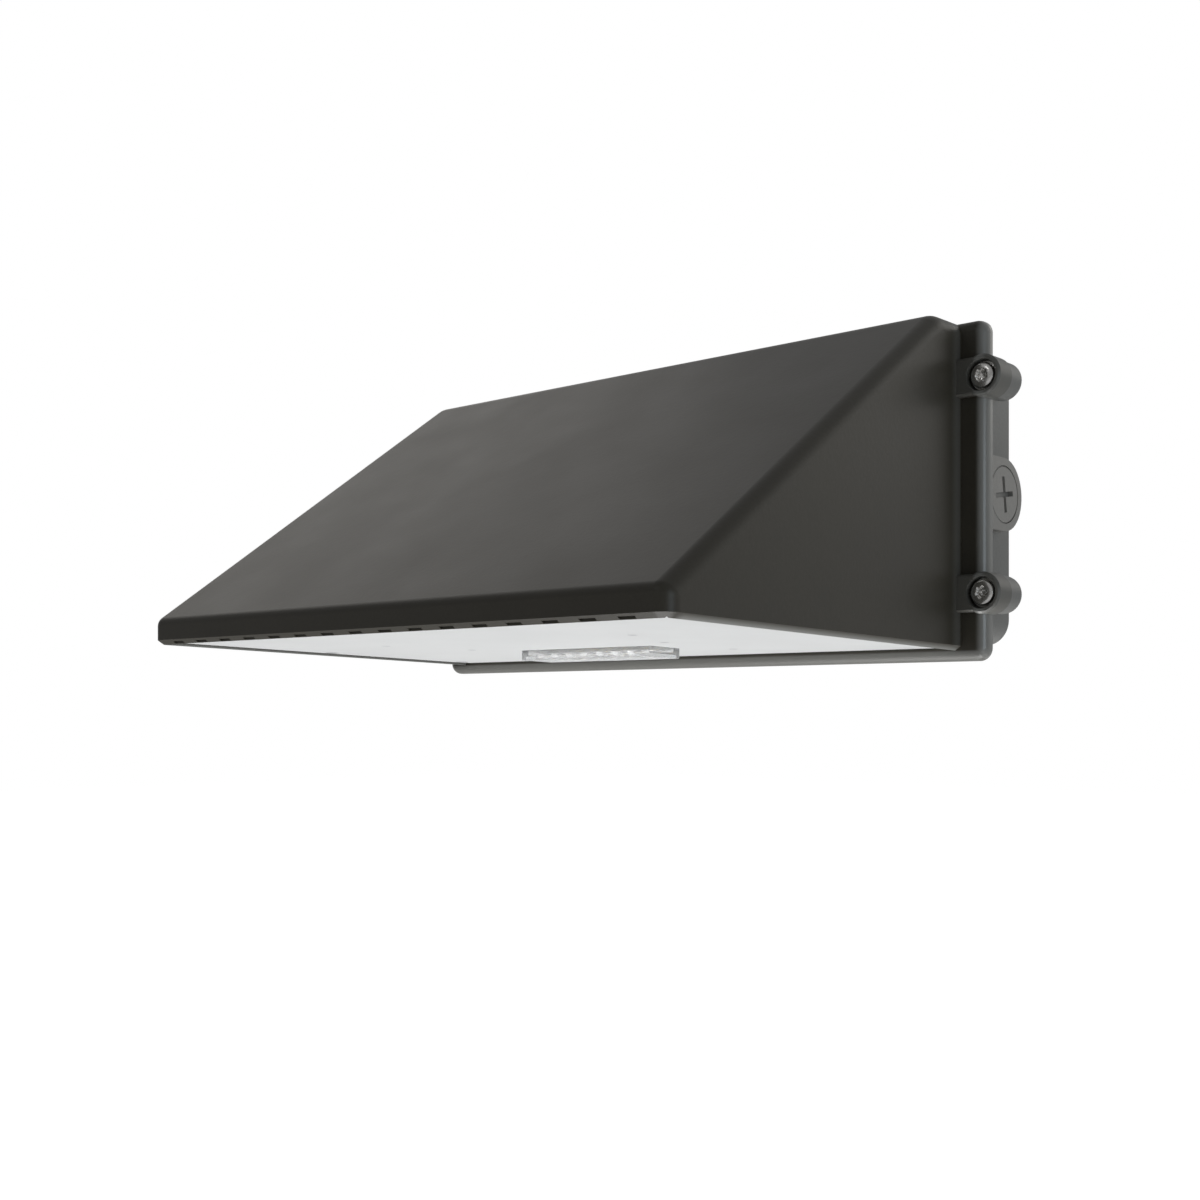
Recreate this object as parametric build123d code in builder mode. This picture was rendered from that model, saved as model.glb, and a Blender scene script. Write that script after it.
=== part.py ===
"""Full cutoff wall pack light: a cast wedge housing that closes a shallow wall box.

The wall face is the plane y = 0, the light points to -Y and shines down, +Z is up and x = 0 is
the middle. z = 0 is the middle of the wall box. Sizes are millimetres.
"""
from build123d import *
from math import atan2, cos, hypot, radians, sin, tan
import os

os.makedirs("parts", exist_ok=True)

# ---------------------------------------------------------------- driving sizes
# wall box
box_width = 288.6
box_height = 108.0
box_depth = 26.2
box_wall = 3.5
box_corner = 10.0
box_edge_round = 1.5
# housing flange
flange_overhang = 6.2       # flange beyond the box on each side
flange_drop = 7.0           # flange below the box
flange_rise = 15.9          # flange above the box
flange_thickness = 5.9
flange_corner = 5.0
flange_edge_round = 4.2
parting_gap = 0.3           # flange to box rim
# wedge
cheek_inset = 10.2          # cheeks inside the flange's sides
reach = 178.0               # flange front to lip front
crown_rise = 0.4            # top of the wedge above the flange
crown_depth = 16.6          # flat top ahead of the flange
lip_height = 10.0
rim_chamfer_height = 1.7    # bevel round the outside of the rim
rim_chamfer_width = 2.3
lip_rise = 8.8              # lip's lower edge above the flange's lower edge
rear_rim_rise = 4.0         # the same where the rim meets the flange
hip_radius = 6.0
lip_bend = 4.0
crown_bend = 12.0
housing_wall = 3.0
seat_into_flange = 4.6      # wedge run into the flange, past its rounded edge
opening_margin = 6.0        # housing's rear opening inside the box walls
opening_corner = 8.0
# ears and their screws
ear_radius = 8.0
ear_pad = 4.0               # ear ahead of the flange
ear_low = 18.7              # lower ears' centres above the box's lower edge
ear_high = 6.7              # upper ears' centres below the box's upper edge
boss_radius = 7.4
boss_length = 11.6
boss_dome = 3.5
boss_web_height = 9.9       # web from the box to a boss
screw_radius = 2.5
screw_head_radius = 5.0
screw_head_height = 3.0
screw_head_round = 1.8
screw_length = 15.5
head_bore_radius = 6.2
head_bore_depth = 4.4
washer_thickness = 0.8
washer_margin = 0.6
ear_chamfer = 0.8
recess_radius = 2.3         # six-pointed driver recess
recess_depth = 1.6
screw_clearance = 0.3
thread_clearance = 0.08
fit_clearance = 0.05
hole_margin = 1.0           # blind holes beyond their screws, cuts beyond their walls
# conduit hubs and plugs
hub_rise = 4.2              # hubs above the box's middle
hub_setback = 14.4          # hubs' middles ahead of the wall
hub_radius = 14.3
hub_height = 4.9
plug_head_radius = 11.3
plug_head_height = 3.0
plug_thread_radius = 10.2
plug_seal_thickness = 1.2
plug_slot_length = 14.0
plug_slot_width = 2.0
plug_slot_turn = 8.5        # how the plugs' cross slots came to rest, in degrees
plug_slot_depth = 2.2
plug_chamfer = 0.6
plug_length = 9.0
running_clearance = 0.08
# tray and its stack, measured inwards from the rim
tray_recess = 1.2
tray_thickness = 1.5
tray_clearance = 0.4
tray_gasket_thickness = 1.5
ledge_width = 9.0
ledge_thickness = 4.0
tray_screw_radius = 1.75
tray_screw_head = 3.3
tray_screw_length = 8.0
tray_boss_radius = 4.0
tray_boss_height = 2.5
slot_width = 0.9
slot_depth = 0.8
# weep notches in the rim's bevel
notch_count = 16            # along the lip
notch_spacing = 16.35
notch_width = 7.0
notch_height = 1.0
notch_depth = 2.2
# lamp
optic_width = 73.0
optic_depth = 19.0
optic_drop = 4.2            # optic below the tray
optic_flange = 5.0
optic_flange_thickness = 2.0
optic_wall = 2.5
optic_corner = 1.0
optic_edge = 0.4
optic_setback = 53.0        # optic centre ahead of the flange
optic_clearance = 0.3
board_thickness = 1.6
pad_thickness = 0.5
chip_size = 3.0
chip_height = 0.7
chip_columns = 7
chip_rows = 2
chip_spacing = 8.6
seal_band = 2.0
# heat spreader
spreader_width = 122.0
spreader_depth = 58.0
spreader_base = 5.0
fin_height = 14.0
fin_thickness = 2.4
fin_spacing = 7.4
fin_count = 13
spreader_screw_inset = 7.0
spacer_radius = 4.0
pan_head_radius = 3.2
pan_head_height = 2.0
lead_grommet_radius = 3.15
lead_grommet_flange = 1.5
# driver
driver_length = 128.0
driver_depth = 42.0
driver_height = 29.0
driver_corner = 4.0
driver_cap = 3.0
driver_gap = 8.0            # driver ahead of the heat spreader
driver_foot = 9.0
driver_foot_thickness = 2.0
driver_foot_width = 22.0
# leads
lead_radius = 1.1
lead_step = 10.0            # the leads' chosen points are counted in this
lead_apart = 1.3            # leads either side of their grommet's middle
connector_inset = 32.9      # its middle from the tray's side
connector_width = 16.0
connector_depth = 20.0
connector_height = 13.0
connector_setback = 30.0    # its back end ahead of the flange
# gasket between housing and box
gasket_width = 3.2
groove_depth = 2.4
# wall fixing
wall_screw_x = 220.0
wall_screw_z = 70.0
wall_hole_radius = 2.75
outlet_box_x = 88.9
outlet_slot_width = 4.8
outlet_slot_length = 12.0
entry_height = 18.0
entry_radius = 11.0
grommet_bore = 7.0
grommet_lip = 2.2
grommet_flange = 2.0
grommet_setback = 0.3       # grommet clear of the wall
# terminal block in the box
terminal_width = 34.0
terminal_height = 16.0
terminal_depth = 14.0
terminal_x = 84.0
terminal_z = -8.0
terminal_ways = 3
terminal_spacing = 10.2
terminal_corner = 1.0
terminal_entry = 2.2
terminal_entry_rise = 5.6   # wire entries above the box's floor
terminal_screw_radius = 1.9
terminal_screw_length = 4.0
terminal_screw_sink = 0.6
terminal_screw_slot = 0.7
ground_x = 52.0
ground_z = -30.0
ground_boss_radius = 4.5
ground_boss_height = 5.0
ground_screw_radius = 2.0
ground_screw_length = 6.0
ground_head_radius = 4.0
ground_head_height = 2.6
ground_slot = 1.0

# ---------------------------------------------------------------- worked out from them
rim_front = -box_depth
flange_back = rim_front - parting_gap
flange_front = flange_back - flange_thickness
flange_width = box_width + 2 * flange_overhang
flange_bottom = -box_height / 2 - flange_drop
flange_top = box_height / 2 + flange_rise
flange_height = flange_top - flange_bottom
flange_middle = (flange_bottom + flange_top) / 2
cheek_width = flange_width - 2 * cheek_inset
lip_front = flange_front - reach
top_z = flange_top + crown_rise
lip_bottom = flange_bottom + lip_rise
lip_top = lip_bottom + lip_height
rear_rim = flange_bottom + rear_rim_rise
crown_front = flange_front - crown_depth
wedge_back = flange_front + seat_into_flange
ear_front = flange_front - ear_pad
ear_x = flange_width / 2
ear_heights = [-box_height / 2 + ear_low, box_height / 2 - ear_high]
ear_points = [(side * ear_x, z) for side in (-1, 1) for z in ear_heights]
hub_middle = -hub_setback
hub_block = box_depth - hub_setback
hub_face = box_width / 2 + hub_height
plug_bore_depth = plug_head_height + plug_seal_thickness + fit_clearance
ear_pad_inner = cheek_width / 2 - housing_wall
ear_pad_width = ear_x - ear_pad_inner
ear_pad_middle = (ear_x + ear_pad_inner) / 2
ear_pad_height = 2 * (ear_radius - ear_chamfer)
head_floor = ear_front + head_bore_depth
head_seat = head_floor - washer_thickness
screw_tip = head_seat + screw_length
gasket_outer_x = box_width - box_wall + gasket_width
gasket_outer_z = box_height - box_wall + gasket_width

# the rim plane leans: x along the light, y to the wall, z up into the housing
rim_tilt = atan2(lip_rise - rear_rim_rise, reach)
rim_length = hypot(lip_rise - rear_rim_rise, reach)
rim = Plane(origin=(0, flange_front, rear_rim), x_dir=(1, 0, 0), z_dir=(0, sin(rim_tilt), cos(rim_tilt)))
tray_low = tray_recess
tray_high = tray_low + tray_thickness
ledge_low = tray_high + tray_gasket_thickness
ledge_high = ledge_low + ledge_thickness
tray_width = cheek_width - 2 * housing_wall - 2 * tray_clearance
tray_front = -(rim_length - housing_wall - tray_clearance)
tray_rear = -tray_clearance
tray_middle = (tray_front + tray_rear) / 2
tray_depth = tray_rear - tray_front
tray_corner = hip_radius - housing_wall
screw_inset = housing_wall + ledge_width / 2 + tray_clearance
tray_screw_x = cheek_width / 2 - screw_inset
tray_screw_rows = [-screw_inset, -rim_length / 2, -(rim_length - screw_inset)]
tray_screw_points = [(side * tray_screw_x, y) for side in (-1, 1) for y in tray_screw_rows]
tray_screw_points += [(side * tray_screw_x / 3, tray_screw_rows[-1]) for side in (-1, 1)]
connector_x = tray_width / 2 - connector_inset

optic_y = -optic_setback
board_low = tray_high + optic_flange_thickness
board_high = board_low + board_thickness
spreader_low = board_high + pad_thickness
spreader_high = spreader_low + spreader_base
pocket_width = optic_width - 2 * optic_wall
pocket_depth = optic_depth - 2 * optic_wall
seal_width = optic_width + 2 * optic_flange
seal_depth = optic_depth + 2 * optic_flange
board_width = seal_width - 2 * seal_band - 2 * optic_clearance
board_depth = seal_depth - 2 * seal_band - 2 * optic_clearance
optic_low = tray_low - optic_drop
spreader_screw_x = spreader_width / 2 - spreader_screw_inset
spreader_screw_y = spreader_depth / 2 - spreader_screw_inset
spreader_points = [
    (side * spreader_screw_x, optic_y + row * spreader_screw_y) for side in (-1, 1) for row in (-1, 1)
]
lead_exit = spreader_high + lead_grommet_flange
driver_y = optic_y - spreader_depth / 2 - driver_gap - driver_depth / 2
driver_points = [(side * (driver_length + driver_foot) / 2, driver_y) for side in (-1, 1)]
connector_y = -(connector_setback + connector_depth / 2)
connector_front = -(connector_setback + connector_depth)
boss_web_inner = box_width / 2 - box_wall / 2
boss_web_width = ear_x - boss_web_inner
boss_web_middle = (ear_x + boss_web_inner) / 2
box_inner_x = box_width / 2 - box_wall
box_inner_z = box_height / 2 - box_wall
floor_y = -box_wall
opening_x = box_inner_x - opening_margin
opening_z = box_inner_z - opening_margin
aperture_width = cheek_width - 2 * (housing_wall + ledge_width)
aperture_depth = rim_length - housing_wall - 2 * ledge_width
aperture_middle = -ledge_width - aperture_depth / 2
rabbet_depth = rim_length - housing_wall

SEATED = (Align.CENTER, Align.CENTER, Align.MIN)


def save(piece, name):
    """Label a finished piece and write its file."""
    piece.part.label = name
    export_step(piece.part, f"parts/{name}.step")


def ring(width, depth, band, corner):
    """A flat rectangular ring's outline on the active sketch plane."""
    RectangleRounded(width, depth, corner)
    RectangleRounded(width - 2 * band, depth - 2 * band, max(corner - band, corner / 4), mode=Mode.SUBTRACT)


# ---------------------------------------------------------------- front housing
with BuildPart() as flange_plate:
    with BuildSketch(Plane.XZ.offset(-flange_back)):
        with Locations((0, flange_middle)):
            RectangleRounded(flange_width, flange_height, flange_corner)
    extrude(amount=flange_thickness)
    fillet(flange_plate.edges().group_by(Axis.Y)[0], flange_edge_round)

wedge_corners = [
    (wedge_back, rear_rim),
    (lip_front, lip_bottom),
    (lip_front, lip_top),
    (crown_front, top_z),
    (wedge_back, top_z),
]


def wedge(inset):
    """The wedge, moved inwards by inset, with its lip bend, crown and hips rounded."""
    with BuildPart() as solid:
        with BuildSketch(Plane.YZ) as side:
            with BuildLine():
                Polyline(*wedge_corners, close=True)
            make_face()
            if inset:
                offset(amount=-inset, kind=Kind.INTERSECTION)
            crown = side.vertices().group_by(Axis.Y)[-1].sort_by(Axis.X)[0]
            fillet(crown, crown_bend - inset)
            lip = side.vertices().group_by(Axis.X)[0].sort_by(Axis.Y)[-1]
            fillet(lip, lip_bend - inset)
        extrude(amount=cheek_width / 2 - inset, both=True)
        back = solid.faces().sort_by(Axis.Y)[-1].center().Y
        loop = []
        for edge in solid.faces().filter_by(Axis.X).edges():
            middle = edge @ 0.5
            on_rim = edge.length > reach / 2 and middle.Z < lip_bottom
            if abs(middle.Y - back) > 0.01 and not on_rim:
                loop.append(edge)
        fillet(loop, hip_radius - inset)
    return solid


with BuildPart() as ear_pads:
    with BuildSketch(Plane.XZ.offset(-flange_back)):
        with Locations(*ear_points):
            Circle(ear_radius)
        with Locations(*[(side * ear_pad_middle, z) for side in (-1, 1) for z in ear_heights]):
            Rectangle(ear_pad_width, ear_pad_height)
    extrude(amount=flange_thickness + ear_pad)
    chamfer(ear_pads.edges().group_by(Axis.Y)[0], ear_chamfer)

wedge_solid = wedge(0)
gear_space = wedge(housing_wall)
with BuildPart() as bevelled_wedge:
    add(wedge_solid.part)
    underside = bevelled_wedge.faces().sort_by(Axis.Z)[0]
    rim_edges = [edge for edge in underside.edges() if edge.center().Y < flange_front]
    chamfer(rim_edges, length=rim_chamfer_width, length2=rim_chamfer_height, reference=underside)
with BuildPart() as hollow:
    add(gear_space.part)
    split(bisect_by=rim.offset(ledge_high), keep=Keep.TOP)

with BuildPart() as front_housing:
    add(bevelled_wedge.part)
    add(flange_plate.part)
    add(ear_pads.part)
    add(hollow.part, mode=Mode.SUBTRACT)
    # opening into the wall box
    with BuildSketch(Plane.XZ.offset(-flange_back)):
        RectangleRounded(2 * opening_x, 2 * opening_z, opening_corner)
    extrude(amount=flange_thickness + housing_wall, mode=Mode.SUBTRACT)
    # light opening inside the ledge, and the rabbet below the ledge
    with BuildSketch(rim):
        with Locations((0, aperture_middle)):
            RectangleRounded(aperture_width, aperture_depth, tray_corner)
    extrude(amount=ledge_high + hole_margin, mode=Mode.SUBTRACT)
    with BuildSketch(rim.offset(-lip_height)):
        with Locations((0, -rabbet_depth / 2)):
            Rectangle(cheek_width - 2 * housing_wall, rabbet_depth)
    extrude(amount=lip_height + ledge_low, mode=Mode.SUBTRACT)
    # screw bosses on the ledge
    with BuildSketch(rim.offset(ledge_low)):
        with Locations(*tray_screw_points):
            Circle(tray_boss_radius)
    extrude(amount=ledge_thickness + tray_boss_height)
    with BuildSketch(rim.offset(ledge_low)):
        with Locations(*tray_screw_points):
            Circle(tray_screw_radius + thread_clearance)
    extrude(amount=tray_low + tray_screw_length - ledge_low + hole_margin, mode=Mode.SUBTRACT)
    # weep notches along the lip
    with BuildSketch(rim.offset(-notch_height)):
        with Locations((0, -rim_length)):
            with GridLocations(notch_spacing, 1, notch_count, 1):
                Rectangle(notch_width, 2 * notch_depth)
    extrude(amount=2 * notch_height, mode=Mode.SUBTRACT)
    # screw ears: head bore and shank hole
    with BuildSketch(Plane.XZ.offset(-ear_front)):
        with Locations(*ear_points):
            Circle(head_bore_radius)
    extrude(amount=-head_bore_depth, mode=Mode.SUBTRACT)
    with BuildSketch(Plane.XZ.offset(-ear_front)):
        with Locations(*ear_points):
            Circle(screw_radius + screw_clearance)
    extrude(amount=-(ear_pad + flange_thickness), mode=Mode.SUBTRACT)
    # groove for the gasket, in line with the box rim
    with BuildSketch(Plane.XZ.offset(-flange_back)):
        ring(gasket_outer_x, gasket_outer_z, gasket_width, box_corner)
    extrude(amount=groove_depth, mode=Mode.SUBTRACT)
save(front_housing, "front_housing")

with BuildPart() as housing_gasket:
    with BuildSketch(Plane.XZ.offset(-flange_back + groove_depth)):
        ring(gasket_outer_x, gasket_outer_z, gasket_width, box_corner)
    extrude(amount=-groove_depth)
save(housing_gasket, "housing_gasket")

# ---------------------------------------------------------------- cover screws and their fittings
with BuildPart() as cover_screws:
    with BuildSketch(Plane.XZ.offset(-head_seat)):
        with Locations(*ear_points):
            Circle(screw_head_radius)
    extrude(amount=screw_head_height)
    fillet(cover_screws.edges().group_by(Axis.Y)[0], screw_head_round)
    with BuildSketch(Plane.XZ.offset(-head_seat)):
        with Locations(*ear_points):
            Circle(screw_radius)
    extrude(amount=-screw_length)
    with BuildSketch(Plane.XZ.offset(-head_seat + screw_head_height)):
        with Locations(*ear_points):
            RegularPolygon(recess_radius, 3)
            RegularPolygon(recess_radius, 3, rotation=60)
    extrude(amount=-recess_depth, mode=Mode.SUBTRACT)
save(cover_screws, "cover_screws")

with BuildPart() as screw_washers:
    with BuildSketch(Plane.XZ.offset(-head_floor)):
        with Locations(*ear_points):
            Circle(screw_head_radius + washer_margin)
            Circle(screw_radius + thread_clearance, mode=Mode.SUBTRACT)
    extrude(amount=washer_thickness)
save(screw_washers, "screw_washers")

# ---------------------------------------------------------------- wall box
with BuildPart() as screw_boss:
    with BuildSketch(Plane.XZ.offset(-rim_front)):
        with Locations(*ear_points):
            Circle(boss_radius)
    extrude(amount=-boss_length)
    fillet(screw_boss.edges().group_by(Axis.Y)[-1], boss_dome)
    with BuildSketch(Plane.XZ.offset(-rim_front)):
        with Locations(*[(side * boss_web_middle, z) for side in (-1, 1) for z in ear_heights]):
            Rectangle(boss_web_width, boss_web_height)
    extrude(amount=-(boss_length - boss_dome))

with BuildPart() as back_box:
    with BuildSketch(Plane.XZ):
        RectangleRounded(box_width, box_height, box_corner)
    extrude(amount=box_depth)
    fillet(back_box.edges().group_by(Axis.Y)[-1], box_edge_round)
    with BuildSketch(Plane.YZ):
        with Locations((hub_middle, hub_rise)):
            Circle(hub_radius)
        with Locations((hub_middle - hub_block / 2, hub_rise)):
            Rectangle(hub_block, 2 * hub_radius)
        with Locations((rim_front / 2, hub_rise)):
            Rectangle(box_depth, 2 * hub_radius, mode=Mode.INTERSECT)
    extrude(amount=hub_face, both=True)
    add(screw_boss.part)
    with BuildSketch(Plane.XZ.offset(-floor_y)):
        RectangleRounded(2 * box_inner_x, 2 * box_inner_z, box_corner - box_wall)
    extrude(amount=box_depth, mode=Mode.SUBTRACT)
    # holes for the cover screws
    with BuildSketch(Plane.XZ.offset(-rim_front)):
        with Locations(*ear_points):
            Circle(screw_radius + thread_clearance)
    extrude(amount=-(screw_tip - rim_front + hole_margin), mode=Mode.SUBTRACT)
    # conduit entries: thread bore, and counterbore for the plug's head and seal
    with BuildSketch(Plane.YZ):
        with Locations((hub_middle, hub_rise)):
            Circle(plug_thread_radius + running_clearance)
    extrude(amount=box_width, both=True, mode=Mode.SUBTRACT)
    for side in (-1, 1):
        with BuildSketch(Plane.YZ.offset(side * hub_face)):
            with Locations((hub_middle, hub_rise)):
                Circle(plug_head_radius + running_clearance)
        extrude(amount=-side * plug_bore_depth, mode=Mode.SUBTRACT)
    # ground boss inside, then the holes through the wall face
    with BuildSketch(Plane.XZ.offset(-floor_y)):
        with Locations((ground_x, ground_z)):
            Circle(ground_boss_radius)
    extrude(amount=ground_boss_height)
    with BuildSketch(Plane.XZ.offset(-floor_y + ground_boss_height)):
        with Locations((ground_x, ground_z)):
            Circle(ground_screw_radius + thread_clearance)
    extrude(amount=-(ground_screw_length + hole_margin), mode=Mode.SUBTRACT)
    with BuildSketch(Plane.XZ):
        with GridLocations(wall_screw_x, wall_screw_z, 2, 2):
            Circle(wall_hole_radius)
        with Locations((0, entry_height)):
            Circle(entry_radius)
            with GridLocations(outlet_box_x, 1, 2, 1):
                SlotOverall(outlet_slot_length, outlet_slot_width)
    extrude(amount=box_wall, mode=Mode.SUBTRACT)
save(back_box, "back_box")

with BuildPart() as wire_entry_grommet:
    with BuildSketch(Plane.XZ.offset(grommet_setback)):
        with Locations((0, entry_height)):
            Circle(entry_radius - fit_clearance)
    extrude(amount=box_wall - grommet_setback)
    with BuildSketch(Plane.XZ.offset(box_wall)):
        with Locations((0, entry_height)):
            Circle(entry_radius + grommet_lip)
    extrude(amount=grommet_flange)
    chamfer(wire_entry_grommet.edges().group_by(Axis.Y)[0], grommet_flange / 3)
    with BuildSketch(Plane.XZ):
        with Locations((0, entry_height)):
            Circle(grommet_bore)
    extrude(amount=box_depth, mode=Mode.SUBTRACT)
save(wire_entry_grommet, "wire_entry_grommet")

with BuildPart() as ground_screw:
    with BuildSketch(Plane.XZ.offset(-floor_y + ground_boss_height)):
        with Locations((ground_x, ground_z)):
            RegularPolygon(ground_head_radius, 6)
    extrude(amount=ground_head_height)
    with BuildSketch(Plane.XZ.offset(-floor_y + ground_boss_height)):
        with Locations((ground_x, ground_z)):
            Circle(ground_screw_radius)
    extrude(amount=-ground_screw_length)
    with BuildSketch(Plane.XZ.offset(-floor_y + ground_boss_height + ground_head_height)):
        with Locations((ground_x, ground_z)):
            Rectangle(2 * ground_head_radius, ground_slot)
    extrude(amount=-ground_head_height / 2, mode=Mode.SUBTRACT)
save(ground_screw, "ground_screw")

# ---------------------------------------------------------------- terminal block
with BuildPart() as terminal_block:
    with BuildSketch(Plane.XZ.offset(-floor_y)):
        with Locations((terminal_x, terminal_z)):
            Rectangle(terminal_width, terminal_height)
    extrude(amount=terminal_depth)
    fillet(terminal_block.edges().filter_by(Axis.Y), terminal_corner)
    with BuildSketch(Plane.XY.offset(terminal_z)):
        with Locations((terminal_x, floor_y - terminal_entry_rise)):
            with GridLocations(terminal_spacing, 1, terminal_ways, 1):
                Circle(terminal_entry)
    extrude(amount=terminal_height, both=True, mode=Mode.SUBTRACT)
    with BuildSketch(Plane.XZ.offset(-floor_y + terminal_depth)):
        with Locations((terminal_x, terminal_z)):
            with GridLocations(terminal_spacing, 1, terminal_ways, 1):
                Circle(terminal_screw_radius + fit_clearance)
    extrude(amount=-terminal_screw_length, mode=Mode.SUBTRACT)
save(terminal_block, "terminal_block")

with BuildPart() as terminal_screws:
    with BuildSketch(Plane.XZ.offset(-floor_y + terminal_depth - terminal_screw_sink)):
        with Locations((terminal_x, terminal_z)):
            with GridLocations(terminal_spacing, 1, terminal_ways, 1):
                Circle(terminal_screw_radius)
    extrude(amount=-(terminal_screw_length - terminal_screw_sink))
    with BuildSketch(Plane.XZ.offset(-floor_y + terminal_depth - terminal_screw_sink)):
        with Locations((terminal_x, terminal_z)):
            with GridLocations(terminal_spacing, 1, terminal_ways, 1):
                Rectangle(2 * terminal_screw_radius, terminal_screw_slot)
    extrude(amount=-terminal_screw_slot, mode=Mode.SUBTRACT)
save(terminal_screws, "terminal_screws")

# ---------------------------------------------------------------- conduit plugs
with BuildPart() as right_plug:
    with BuildSketch(Plane.YZ.offset(hub_face)):
        with Locations((hub_middle, hub_rise)):
            Circle(plug_head_radius)
    extrude(amount=-plug_head_height)
    chamfer(right_plug.edges().group_by(Axis.X)[-1], plug_chamfer)
    with BuildSketch(Plane.YZ.offset(hub_face)):
        with Locations((hub_middle, hub_rise)):
            Circle(plug_thread_radius)
    extrude(amount=-plug_length)
    with BuildSketch(Plane.YZ.offset(hub_face)):
        with Locations((hub_middle, hub_rise)):
            Rectangle(plug_slot_length, plug_slot_width, rotation=plug_slot_turn)
            Rectangle(plug_slot_width, plug_slot_length, rotation=plug_slot_turn)
    extrude(amount=-plug_slot_depth, mode=Mode.SUBTRACT)

with BuildPart() as right_plug_seal:
    with BuildSketch(Plane.YZ.offset(hub_face - plug_head_height)):
        with Locations((hub_middle, hub_rise)):
            Circle(plug_head_radius)
            Circle(plug_thread_radius, mode=Mode.SUBTRACT)
    extrude(amount=-plug_seal_thickness)

with BuildPart() as left_plug:
    add(mirror(right_plug.part, about=Plane.YZ))
with BuildPart() as left_plug_seal:
    add(mirror(right_plug_seal.part, about=Plane.YZ))
save(right_plug, "right_conduit_plug")
save(right_plug_seal, "right_plug_seal")
save(left_plug, "left_conduit_plug")
save(left_plug_seal, "left_plug_seal")

# ---------------------------------------------------------------- tray
with BuildPart(rim.offset(tray_low)) as light_tray:
    with BuildSketch(rim.offset(tray_low)):
        with Locations((0, tray_middle)):
            RectangleRounded(tray_width, tray_depth, tray_corner)
        with Locations((0, optic_y)):
            Rectangle(optic_width + 2 * optic_clearance, optic_depth + 2 * optic_clearance, mode=Mode.SUBTRACT)
        with Locations(*spreader_points, *driver_points):
            Circle(tray_screw_radius + thread_clearance, mode=Mode.SUBTRACT)
    extrude(amount=tray_thickness)
    with Locations(*tray_screw_points):
        Cone(tray_screw_head, tray_screw_radius + fit_clearance, tray_thickness, align=SEATED, mode=Mode.SUBTRACT)
save(light_tray, "light_tray")

with BuildPart() as tray_gasket:
    with BuildSketch(rim.offset(tray_high)):
        with Locations((0, tray_middle)):
            ring(tray_width, tray_depth, ledge_width - tray_clearance, tray_corner)
        with Locations(*tray_screw_points):
            Circle(tray_screw_radius + fit_clearance, mode=Mode.SUBTRACT)
    extrude(amount=tray_gasket_thickness)
save(tray_gasket, "tray_gasket")

with BuildPart(rim.offset(tray_low)) as tray_screws:
    with Locations(*tray_screw_points):
        Cone(tray_screw_head - fit_clearance, tray_screw_radius, tray_thickness, align=SEATED)
        Cylinder(tray_screw_radius, tray_screw_length, align=SEATED)
        Box(2 * tray_screw_head, slot_width, slot_depth, align=SEATED, mode=Mode.SUBTRACT)
save(tray_screws, "tray_screws")

# ---------------------------------------------------------------- lamp: optic, board and chips
with BuildPart() as led_optic:
    with BuildSketch(rim.offset(optic_low)):
        with Locations((0, optic_y)):
            RectangleRounded(optic_width, optic_depth, optic_corner)
    extrude(amount=board_low - optic_low)
    chamfer(led_optic.edges().group_by(Axis.Z)[0], optic_edge)
    with BuildSketch(rim.offset(tray_high)):
        with Locations((0, optic_y)):
            RectangleRounded(seal_width, seal_depth, optic_flange / 2)
    extrude(amount=optic_flange_thickness)
    with BuildSketch(rim.offset(optic_low + optic_wall)):
        with Locations((0, optic_y)):
            Rectangle(pocket_width, pocket_depth)
    extrude(amount=board_low - optic_low, mode=Mode.SUBTRACT)
save(led_optic, "led_optic")

with BuildPart(rim.offset(board_low)) as optic_seal:
    with BuildSketch(rim.offset(board_low)):
        with Locations((0, optic_y)):
            ring(seal_width, seal_depth, seal_band, optic_flange / 2)
    extrude(amount=spreader_low - board_low)
save(optic_seal, "optic_seal")

with BuildPart(rim.offset(board_low)) as led_board:
    with Locations((0, optic_y)):
        Box(board_width, board_depth, board_thickness, align=SEATED)
save(led_board, "led_board")

with BuildPart(rim.offset(board_low - chip_height)) as led_chips:
    with Locations((0, optic_y)):
        with GridLocations(chip_spacing, chip_spacing, chip_columns, chip_rows):
            Box(chip_size, chip_size, chip_height, align=SEATED)
save(led_chips, "led_chips")

with BuildPart(rim.offset(board_high)) as thermal_pad:
    with Locations((0, optic_y)):
        Box(board_width, board_depth, pad_thickness, align=SEATED)
save(thermal_pad, "thermal_pad")

# ---------------------------------------------------------------- heat spreader
with BuildPart(rim.offset(spreader_low)) as heat_spreader:
    with Locations((0, optic_y)):
        Box(spreader_width, spreader_depth, spreader_base, align=SEATED)
    with Locations((0, optic_y, spreader_base)):
        with GridLocations(fin_spacing, 1, fin_count, 1):
            Box(fin_thickness, spreader_depth, fin_height, align=SEATED)
    with BuildSketch(rim.offset(spreader_low)):
        with Locations(*spreader_points):
            Circle(tray_screw_radius + screw_clearance)
        with Locations((-spreader_screw_x, optic_y)):
            Circle(lead_grommet_radius + fit_clearance)
    extrude(amount=spreader_base, mode=Mode.SUBTRACT)
save(heat_spreader, "heat_spreader")

with BuildPart(rim.offset(tray_high)) as spreader_spacers:
    with Locations(*spreader_points):
        Cylinder(spacer_radius, spreader_low - tray_high, align=SEATED)
        Cylinder(tray_screw_radius + screw_clearance, spreader_low, align=SEATED, mode=Mode.SUBTRACT)
save(spreader_spacers, "spreader_spacers")


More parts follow.
